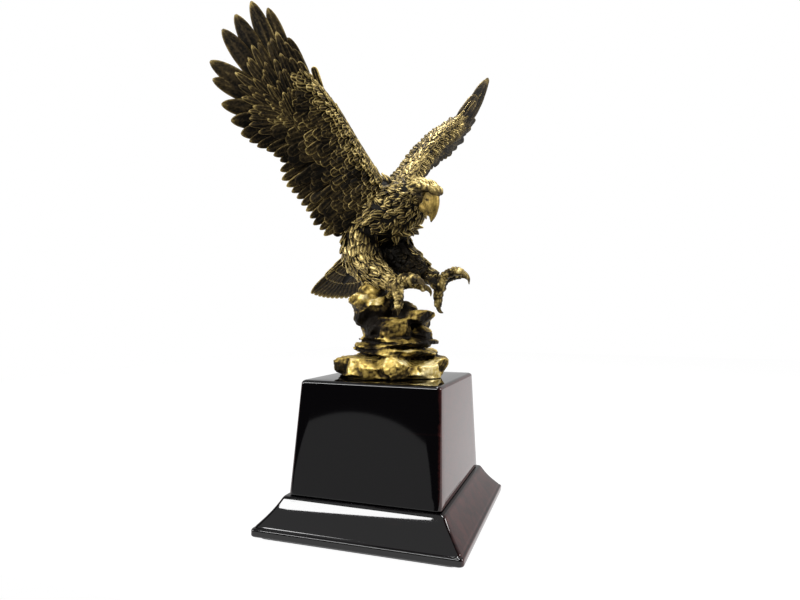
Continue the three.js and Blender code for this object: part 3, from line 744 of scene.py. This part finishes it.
LEFT_TOES = [
    [(21.7, 12, 149, 4.0), (30, 12, 142, 4.0)],
    [(30, 12, 142, 3.0), (35, 12, 148.6, 2.6), (44, 12, 150.6, 2.5), (48, 12, 149.8, 2.0)],
    [(30, 12, 142, 3.0), (33, 17, 148, 2.5), (38, 21, 149, 2.1)],
    [(30, 12, 142, 3.2), (28.5, 12, 135, 2.7), (28.8, 12, 131, 2.2)],
    [(29, 13, 141, 3.1), (22, 19, 142, 2.4)],
]
LEFT_CLAWS = [
    [(46.5, 12, 150.2, 1.9), (51.0, 12, 148.8, 1.6), (54.4, 12, 146.0, 1.1), (55, 12, 142.6, 0.3)],
    [(37, 20.4, 149.2, 1.9), (40.5, 22.6, 148.6, 1.5), (42.6, 23.8, 146.8, 1.0), (43, 24, 144.6, 0.3)],
    [(28.6, 12, 132, 2.0), (29, 12, 128.8, 1.6), (30.6, 12, 126.8, 1.1), (33, 12, 126, 0.3)],
    [(23, 18.3, 142, 2.0), (19.5, 20.7, 141.4, 1.6), (17.4, 21.8, 139.6, 1.0), (17, 22, 137.6, 0.3)],
]


def foot(toes, claws, seed, gilt):
    base = remeshed(merged([limb(t, rings=20, sides=16) for t in toes]), 0.45, 4)
    bumps = knobs(base["verts"], 2.3, seed)
    joints = rough(base["verts"], 4.5, seed)
    push = 0.6 * bumps + 0.7 * joints + 0.2 * rough(base["verts"], 1.2, seed)
    base["verts"] += normals_of(base) * push[:, None]
    base["rub_and_painted_light"] = np.clip(gilt + 0.55 * bumps + 0.8 * joints, 0, 1)
    talons = [limb(c, rings=24, sides=16, flat=0.8, rub_and_painted_light=0.45) for c in claws]
    return turned_about_z(merged([base] + talons), HEADING)


# ---------- rock ----------

def crag(x, y, z, half_x, half_y, half_z, yaw=0.0, tilt=0.0, seed=0, cuts=26):
    """An angular block: a box with blunt edges, cut by flat planes at random angles."""
    chance = np.random.default_rng(seed)
    rings, sides = 34, 56
    polar = np.linspace(0, math.pi, rings)[1:-1]
    angle = np.linspace(0, 2 * math.pi, sides, endpoint=False)
    ring = np.stack([np.cos(angle), np.sin(angle)], -1)
    ring = np.sign(ring) * np.abs(ring) ** 0.55
    rows = []
    for a in polar:
        rise = math.copysign(abs(math.cos(a)) ** 0.35, math.cos(a))
        rows.append(np.column_stack([ring * math.sin(a) ** 0.3, np.full(sides, rise)]))
    block = tube(np.vstack(rows), sides, [(0, 0, 1), (0, 0, -1)])
    verts = block["verts"]
    for _ in range(cuts):
        plane = unit(chance.normal(size=3) * np.array([1, 1, 0.5]))
        beyond = verts @ plane - chance.uniform(0.8, 1.12)
        verts = verts - np.maximum(beyond, 0)[:, None] * plane
    spin = np.array(Matrix.Rotation(yaw, 3, "Z") @ Matrix.Rotation(tilt, 3, "Y"))
    verts = (verts * np.array([half_x, half_y, half_z])) @ spin.T + np.array([x, y, z])
    return flipped({**block, "verts": verts})


ROCK_FLOOR = 86.1


def cracked(points, size, seed):
    """0 along the crack lines of smooth noise, rising to about 1 between them."""
    return np.minimum(np.abs(rough(points, size, seed)) * 4, 1)


def rock():
    """A lumpy slab, thin strata on it, and angular crags that the thigh and the foot rest on."""
    blocks = [crag(-2.5, 0, 91, 37, 29, 7.2, seed=3)]
    for k, turn in enumerate(np.linspace(0, 2 * math.pi, 9, endpoint=False)):
        x, y = -2.5 + 23 * math.cos(turn), 16 * math.sin(turn)
        blocks.append(crag(x, y, 91.6 + 0.6 * math.sin(3 * k), 14.5, 13, 7.2 + 0.5 * math.cos(2 * k),
                           yaw=0.3 * k, tilt=0.06 * math.sin(5 * k), seed=20 + k))
    blocks += [
        crag(1, -1, 101.5, 29.5, 25.5, 3.2, tilt=0.05, seed=4),
        crag(-1, -2, 105.5, 27, 24, 2.8, yaw=0.25, tilt=-0.06, seed=5),
        crag(2, -1, 109.0, 26, 23, 2.6, yaw=-0.2, tilt=0.05, seed=6),
        crag(-8, 0, 116, 17, 19, 9, yaw=0.15, tilt=0.1, seed=7),
        crag(-2, -11, 115, 14, 11, 9, yaw=-0.3, seed=8),
        crag(9, 5, 117, 15, 14, 8.5, yaw=0.4, seed=9),
        crag(12, -8, 123.5, 14, 14, 4.4, yaw=0.15, tilt=0.04, seed=10),
        crag(17, -5, 113, 8, 10, 5, yaw=0.3, seed=11),
        crag(7, -9, 129, 9, 10, 4.2, tilt=0.2, seed=12),
        crag(-11, -2, 128, 16, 14, 8, yaw=0.4, tilt=-0.28, seed=13),
        crag(-20, -5, 133, 8, 9, 6.5, yaw=0.2, tilt=-0.5, seed=14),
        crag(-13, 0, 139, 11, 10.5, 7.5, yaw=0.9, seed=15),
    ]
    base = remeshed(merged(blocks), 0.6, 0)
    verts = base["verts"]
    cracks = 0.9 * (cracked(verts, 14, 1) - 1) + 0.35 * (cracked(verts, 6, 3) - 1)
    push = cracks + 0.35 * rough(verts, 2.2, 4)
    above = np.clip((verts[:, 2] - ROCK_FLOOR) / 2, 0, 1)
    base["verts"] = verts + normals_of(base) * (push * above)[:, None]
    base["verts"][:, 2] = np.maximum(base["verts"][:, 2], ROCK_FLOOR)
    upward = normals_of(base)[:, 2]
    stains = rough(base["verts"], 12, 9)
    edges = 0.8 * relief(base, 6) + 0.35 * relief(base, 30)
    # Painted top light: faces that look up are brighter; the raised edges and the stains are wear and stains
    # of the cast.
    base["rub_and_painted_light"] = np.clip(0.3 + edges + 0.3 * upward + 0.9 * stains, 0, 1)
    middle = np.exp(-((base["verts"][:, 2] - 114) / 10) ** 2)
    base["rub_and_painted_light"] = np.clip(base["rub_and_painted_light"] - 0.16 * middle, 0, 1)
    slab = base["verts"][:, 2] < 99
    base["rub_and_painted_light"][slab] = np.clip(base["rub_and_painted_light"][slab] + 0.15, 0, 1)
    return turned_about_z(base, ROCK_YAW)


# ---------- plinth ----------

def box_column(stations, corner_radius, per_corner=10, per_side=14):
    """A column on a rounded rectangle; stations are (height, half width, half depth). Its vertex
    attribute is 1 on the left and right faces and 0 in front, which lacquer() reads as painted light on the
    sides."""
    wide = max(station[1] for station in stations)
    deep = max(station[2] for station in stations)
    outline = []
    for k in range(4):
        turn = k * math.pi / 2
        cx = (wide - corner_radius) * np.sign(math.cos(turn + math.pi / 4))
        cy = (deep - corner_radius) * np.sign(math.sin(turn + math.pi / 4))
        for a in np.linspace(turn, turn + math.pi / 2, per_corner):
            outline.append((cx + corner_radius * math.cos(a), cy + corner_radius * math.sin(a)))
    corners = np.array(outline)
    outline = []
    for k in range(4):
        arc = corners[k * per_corner:(k + 1) * per_corner]
        following = corners[((k + 1) % 4) * per_corner]
        steps = np.linspace(0, 1, per_side + 1)[1:-1, None]
        outline += [arc, arc[-1] + (following - arc[-1]) * steps]
    outline = np.concatenate(outline)
    n = len(outline)
    verts = np.concatenate([
        np.column_stack([outline * (w / wide, d / deep), np.full(n, height)]) for height, w, d in stations])
    poles = [(0, 0, stations[0][0]), (0, 0, stations[-1][0])]
    column = tube(verts, n, poles)
    # Painted light: the left and right faces are marked to be shown lighter and redder than the front.
    column["rub_and_painted_light"] = np.abs(normals_of(column)[:, 0]) ** 2
    return column


def rounded_edge(height, inset, radius, way):
    """(height, inset) of a quarter-round edge: way 1 closes a top, -1 opens a bottom."""
    steps = np.linspace(0, math.pi / 2, 8)
    edge = [(height - way * radius * (1 - math.sin(a)), inset + radius * (1 - math.cos(a))) for a in steps]
    return edge if way > 0 else edge[::-1]


def node_size(node):
    low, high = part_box(node)
    return low.z / MM, high.z / MM, high.x / MM, high.y / MM


BLOCK_HALF_TOP = 42.4


def plinth_block():
    low, high, width, depth = node_size("plinth_block")
    profile = rounded_edge(low, 0, 0.8, -1)
    profile += [(low + 1 + (high - low - 3.4) * k / 10, 0) for k in range(1, 11)]
    profile += rounded_edge(high, 0, 2.0, 1)
    stations = []
    for height, inset in profile:
        rise = (height - low) / (high - low)
        stations.append((height, width + (BLOCK_HALF_TOP - width) * rise - inset,
                         depth + (BLOCK_HALF_TOP - depth) * rise - inset))
    stations.append((high, 30.0, 30.0))
    return box_column(stations, 2.6)


def base_board():
    low, high, width, depth = node_size("base_board")
    edge_top = 5.9
    profile = rounded_edge(low, 0, 1.2, -1) + rounded_edge(edge_top, 0, 1.4, 1)
    for k in range(1, 24):
        rise = k / 24
        height = edge_top + 0.2 + rise * (high - edge_top - 0.6)
        profile.append((height, 1.2 + 11.3 * rise + 0.9 * math.sin(math.pi * rise)))
    profile += [(high - 0.12, 12.9), (high, 13.5), (high, 30.0)]
    return box_column([(height, width - inset, depth - inset) for height, inset in profile], 2.4)


# ---------- materials ----------

def new_material(name):
    material = bpy.data.materials.new(name)
    material.use_nodes = True
    nodes = material.node_tree.nodes
    return material, nodes, material.node_tree.links, nodes["Principled BSDF"]


def add_noise(nodes, links, coords, scale, detail=4.0):
    texture = nodes.new("ShaderNodeTexNoise")
    texture.inputs["Scale"].default_value = scale
    texture.inputs["Detail"].default_value = detail
    links.new(coords.outputs["Object"], texture.inputs["Vector"])
    return texture.outputs["Fac"]


def add_bump(nodes, links, shader, height, strength, distance):
    bump = nodes.new("ShaderNodeBump")
    bump.inputs["Strength"].default_value = strength
    bump.inputs["Distance"].default_value = distance
    links.new(height, bump.inputs["Height"])
    links.new(bump.outputs["Normal"], shader.inputs["Normal"])


def math_node(nodes, links, operation, a, b):
    node = nodes.new("ShaderNodeMath")
    node.operation = operation
    for socket, value in zip(node.inputs, (a, b)):
        if isinstance(value, (int, float)):
            socket.default_value = value
        else:
            links.new(value, socket)
    return node.outputs[0]


def ramp(nodes, links, value, stops):
    node = nodes.new("ShaderNodeValToRGB")
    elements = node.color_ramp.elements
    while len(elements) < len(stops):
        elements.new(0.5)
    for element, (place, colour) in zip(elements, stops):
        element.position = place
        element.color = (*colour, 1)
    links.new(value, node.inputs["Fac"])
    return node.outputs["Color"]


def bronze(name, gain, stops):
    """Patina: dark in the hollows, gold where the vertex attribute is high; that attribute is rubbed wear,
    and on some parts painted light and shade.
    """
    material, nodes, links, shader = new_material(name)
    coords = nodes.new("ShaderNodeTexCoord")
    rub_and_painted_light = nodes.new("ShaderNodeAttribute")
    rub_and_painted_light.attribute_name = "rub_and_painted_light"
    patches = add_noise(nodes, links, coords, 70)
    specks = add_noise(nodes, links, coords, 700, 6)
    value = math_node(nodes, links, "MULTIPLY", rub_and_painted_light.outputs["Fac"], gain)
    for noise_value, strength in ((patches, 0.6), (specks, 0.5)):
        centred = math_node(nodes, links, "SUBTRACT", noise_value, 0.5)
        change = math_node(nodes, links, "MULTIPLY", centred, strength)
        value = math_node(nodes, links, "ADD", value, change)
    links.new(ramp(nodes, links, value, stops), shader.inputs["Base Color"])
    gloss = ramp(nodes, links, value, [(0.1, (0.6,) * 3), (0.9, (0.34,) * 3)])
    links.new(gloss, shader.inputs["Roughness"])
    shader.inputs["Metallic"].default_value = 0.45
    shader.inputs["Specular IOR Level"].default_value = 0.15
    add_bump(nodes, links, shader, specks, 0.25, 0.0004)
    return material


FEATHER_STOPS = [(0.1, (0.004, 0.003, 0.0015)), (0.34, (0.045, 0.031, 0.012)), (0.54, (0.19, 0.138, 0.045)),
                 (0.78, (0.5, 0.38, 0.135)), (1.0, (0.85, 0.7, 0.36))]
ROCK_STOPS = [(0.08, (0.006, 0.004, 0.002)), (0.3, (0.06, 0.04, 0.012)), (0.52, (0.27, 0.185, 0.045)),
              (0.78, (0.62, 0.45, 0.12)), (1.0, (0.95, 0.8, 0.42))]


def lacquer():
    """Near-black lacquer with faint red wood grain; the grain is painted lighter and redder on the left and
    right faces as painted light on the sides, and kept dark in front.
    """
    material, nodes, links, shader = new_material("lacquer")
    coords = nodes.new("ShaderNodeTexCoord")
    stretch = nodes.new("ShaderNodeMapping")
    stretch.inputs["Scale"].default_value = (6, 60, 60)
    links.new(coords.outputs["Object"], stretch.inputs["Vector"])
    grain = nodes.new("ShaderNodeTexNoise")
    grain.inputs["Scale"].default_value = 3.0
    grain.inputs["Detail"].default_value = 8.0
    grain.inputs["Distortion"].default_value = 1.2
    links.new(stretch.outputs["Vector"], grain.inputs["Vector"])
    # Painted light: the vertex attribute lifts the grain on the left and right faces and keeps the front
    # near black.
    sides = nodes.new("ShaderNodeAttribute")
    sides.attribute_name = "rub_and_painted_light"
    grain_and_side_light = math_node(nodes, links, "MULTIPLY", sides.outputs["Fac"], 0.85)
    grain_and_side_light = math_node(nodes, links, "ADD", grain_and_side_light, 0.15)
    grain_and_side_light = math_node(nodes, links, "MULTIPLY", grain_and_side_light, grain.outputs["Fac"])
    colour = ramp(nodes, links, grain_and_side_light, [(0.1, (0.0008, 0.0006, 0.0009)), (0.7, (0.07, 0.018, 0.016))])
    links.new(colour, shader.inputs["Base Color"])
    ripple = add_noise(nodes, links, coords, 25, 1)
    add_bump(nodes, links, shader, ripple, 0.03, 0.0006)
    shader.inputs["Roughness"].default_value = 0.04
    shader.inputs["IOR"].default_value = 1.5
    return material


def plain(name, colour, metallic, roughness, scale):
    """A metal or cloth with fine mottling in its colour and height."""
    material, nodes, links, shader = new_material(name)
    coords = nodes.new("ShaderNodeTexCoord")
    mottle = add_noise(nodes, links, coords, scale, 6)
    darker = tuple(0.6 * c for c in colour)
    links.new(ramp(nodes, links, mottle, [(0.3, darker), (0.7, colour)]), shader.inputs["Base Color"])
    shader.inputs["Metallic"].default_value = metallic
    shader.inputs["Roughness"].default_value = roughness
    add_bump(nodes, links, shader, mottle, 1.0, 0.0002)
    return material


# ---------- camera, light and floor ----------

def set_camera():
    right = Vector((0.955, 0.295, 0.011))
    up = Vector((0.001, -0.042, 0.999))
    ahead = Vector((-0.295, 0.955, 0.040))
    data = bpy.data.cameras.new("camera")
    data.sensor_width = 36
    data.lens = 24.05
    data.shift_x = -0.0220
    data.shift_y = -0.0019
    data.clip_start = 0.01
    camera = bpy.data.objects.new("camera", data)
    turn = Matrix((right, up, -ahead)).transposed().to_4x4()
    camera.matrix_world = Matrix.Translation((0.1152, -0.3225, 0.1215)) @ turn
    bpy.context.collection.objects.link(camera)
    bpy.context.scene.camera = camera


def area_light(name, place, target, size, power, shape="RECTANGLE"):
    data = bpy.data.lights.new(name, "AREA")
    data.shape = shape
    data.size, data.size_y = size
    data.energy = power
    light = bpy.data.objects.new(name, data)
    light.location = place
    light.rotation_euler = (Vector(target) - Vector(place)).to_track_quat("-Z", "Y").to_euler()
    light.visible_camera = False
    bpy.context.collection.objects.link(light)


def surroundings():
    """A white backdrop for the camera, soft light, and reflections darker at the front."""
    world = bpy.data.worlds.new("studio")
    bpy.context.scene.world = world
    world.use_nodes = True
    nodes, links = world.node_tree.nodes, world.node_tree.links
    seen = nodes["Background"]
    seen.inputs["Color"].default_value = (1, 1, 1, 1)
    seen.inputs["Strength"].default_value = 1.0
    coords = nodes.new("ShaderNodeTexCoord")
    split = nodes.new("ShaderNodeSeparateXYZ")
    links.new(coords.outputs["Generated"], split.inputs["Vector"])
    room = nodes.new("ShaderNodeBackground")
    depth = ramp(nodes, links, split.outputs["Y"], [(0.0, (0.03,) * 3), (0.5, (0.6,) * 3)])
    links.new(depth, room.inputs["Color"])
    soft = nodes.new("ShaderNodeBackground")
    soft.inputs["Strength"].default_value = 0.45
    soft.inputs["Color"].default_value = (1, 1, 1, 1)
    path = nodes.new("ShaderNodeLightPath")
    mirrored_or_soft = nodes.new("ShaderNodeMixShader")
    links.new(path.outputs["Is Glossy Ray"], mirrored_or_soft.inputs["Fac"])
    links.new(soft.outputs["Background"], mirrored_or_soft.inputs[1])
    links.new(room.outputs["Background"], mirrored_or_soft.inputs[2])
    seen_or_not = nodes.new("ShaderNodeMixShader")
    links.new(path.outputs["Is Camera Ray"], seen_or_not.inputs["Fac"])
    links.new(mirrored_or_soft.outputs["Shader"], seen_or_not.inputs[1])
    links.new(seen.outputs["Background"], seen_or_not.inputs[2])
    links.new(seen_or_not.outputs["Shader"], nodes["World Output"].inputs["Surface"])


def paper_floor():
    """A pale glowing floor under and behind the plinth."""
    corners = [(-900, -135, 0), (1200, -135, 0), (1200, 1800, 0), (-900, 1800, 0)]
    floor = bpy.data.objects.new("floor", to_mesh("floor", part(corners, [(0, 1, 2, 3)])))
    material, _, _, shader = new_material("paper")
    shader.inputs["Base Color"].default_value = (0.08, 0.08, 0.08, 1)
    shader.inputs["Roughness"].default_value = 0.9
    shader.inputs["Specular IOR Level"].default_value = 0.0
    shader.inputs["Emission Color"].default_value = (1, 1, 1, 1)
    shader.inputs["Emission Strength"].default_value = 0.95
    floor.data.materials.append(material)
    bpy.context.collection.objects.link(floor)


def lamps():
    """Soft lamps. A dim round sheet far in front gives the block its grey sheen, and the strip and
    the panel above it show in the bevel as a bright band with a grey one under it."""
    area_light("sheet", (-1.27, -3.05, -0.63), (-0.01, -0.05, 0.05), (1.5, 1.65), 2.5, "ELLIPSE")
    area_light("strip", (-0.2, -0.495, 0.394), (-0.01, -0.055, 0.02), (0.42, 0.065), 2.0)
    area_light("panel", (-0.29, -0.7, 1.15), (-0.01, -0.055, 0.02), (1.2, 1.5), 3.4)
    area_light("overhead", (0.02, 0.02, 0.85), (0, 0, 0.2), (0.5, 0.08), 6)
    area_light("side", (0.75, 0.05, 0.55), (0, 0, 0.18), (0.3, 0.4), 5.5)
    area_light("front", (-0.75, -0.45, 0.35), (0, 0, 0.2), (0.3, 0.3), 4.4)


# ---------- build ----------

set_camera()
surroundings()
paper_floor()
lamps()
bpy.context.scene.view_settings.view_transform = "Standard"

feather_bronze = bronze("feather_bronze", 0.85, FEATHER_STOPS)
rock_bronze = bronze("rock_bronze", 0.9, ROCK_STOPS)
black_lacquer = lacquer()

body_skin = body_base()
body_part = turned_about_z(merged([body_skin, plumage(body_skin)]), HEADING)
show("eagle_body", body_part, feather_bronze, "bronze", "body")
show("eagle_head", turned_about_z(head(), HEADING), feather_bronze, "bronze", "body")
show("eagle_beak", turned_about_z(beak(), HEADING), rock_bronze, "bronze", "body")
for word in ("right", "left"):
    show(f"eagle_wing_{word}", raised_wing(word), feather_bronze, "bronze", f"wing_{word}")
show("eagle_tail", tail_fan(), feather_bronze, "bronze", "tail")
right_foot = foot(RIGHT_TOES, RIGHT_CLAWS, seed=1, gilt=0.34)
left_foot = foot(LEFT_TOES, LEFT_CLAWS, seed=2, gilt=0.16)
show("eagle_foot_right", right_foot, feather_bronze, "bronze", "foot_right")
show("eagle_foot_left", left_foot, feather_bronze, "bronze", "foot_left")
show("rock_mass", rock(), rock_bronze, "bronze_rock", "rock")
show("lacquered_block", plinth_block(), black_lacquer, "lacquer", "plinth_block")
show("lacquered_board", base_board(), black_lacquer, "lacquer", "base_board")

metals = {
    "steel": plain("plated_steel", (0.56, 0.57, 0.58), 1.0, 0.35, 400),
    "brass": plain("turned_brass", (0.72, 0.56, 0.24), 1.0, 0.35, 400),
    "felt": plain("baize", (0.03, 0.03, 0.032), 0.0, 1.0, 2500),
}
slots = {row["node"]: row["material_slot"] for row in frame["record"]["subparts"]}
for node, obj in frame["nodes"].items():
    if slots.get(node) in metals:
        obj.data.materials.clear()
        obj.data.materials.append(metals[slots[node]])
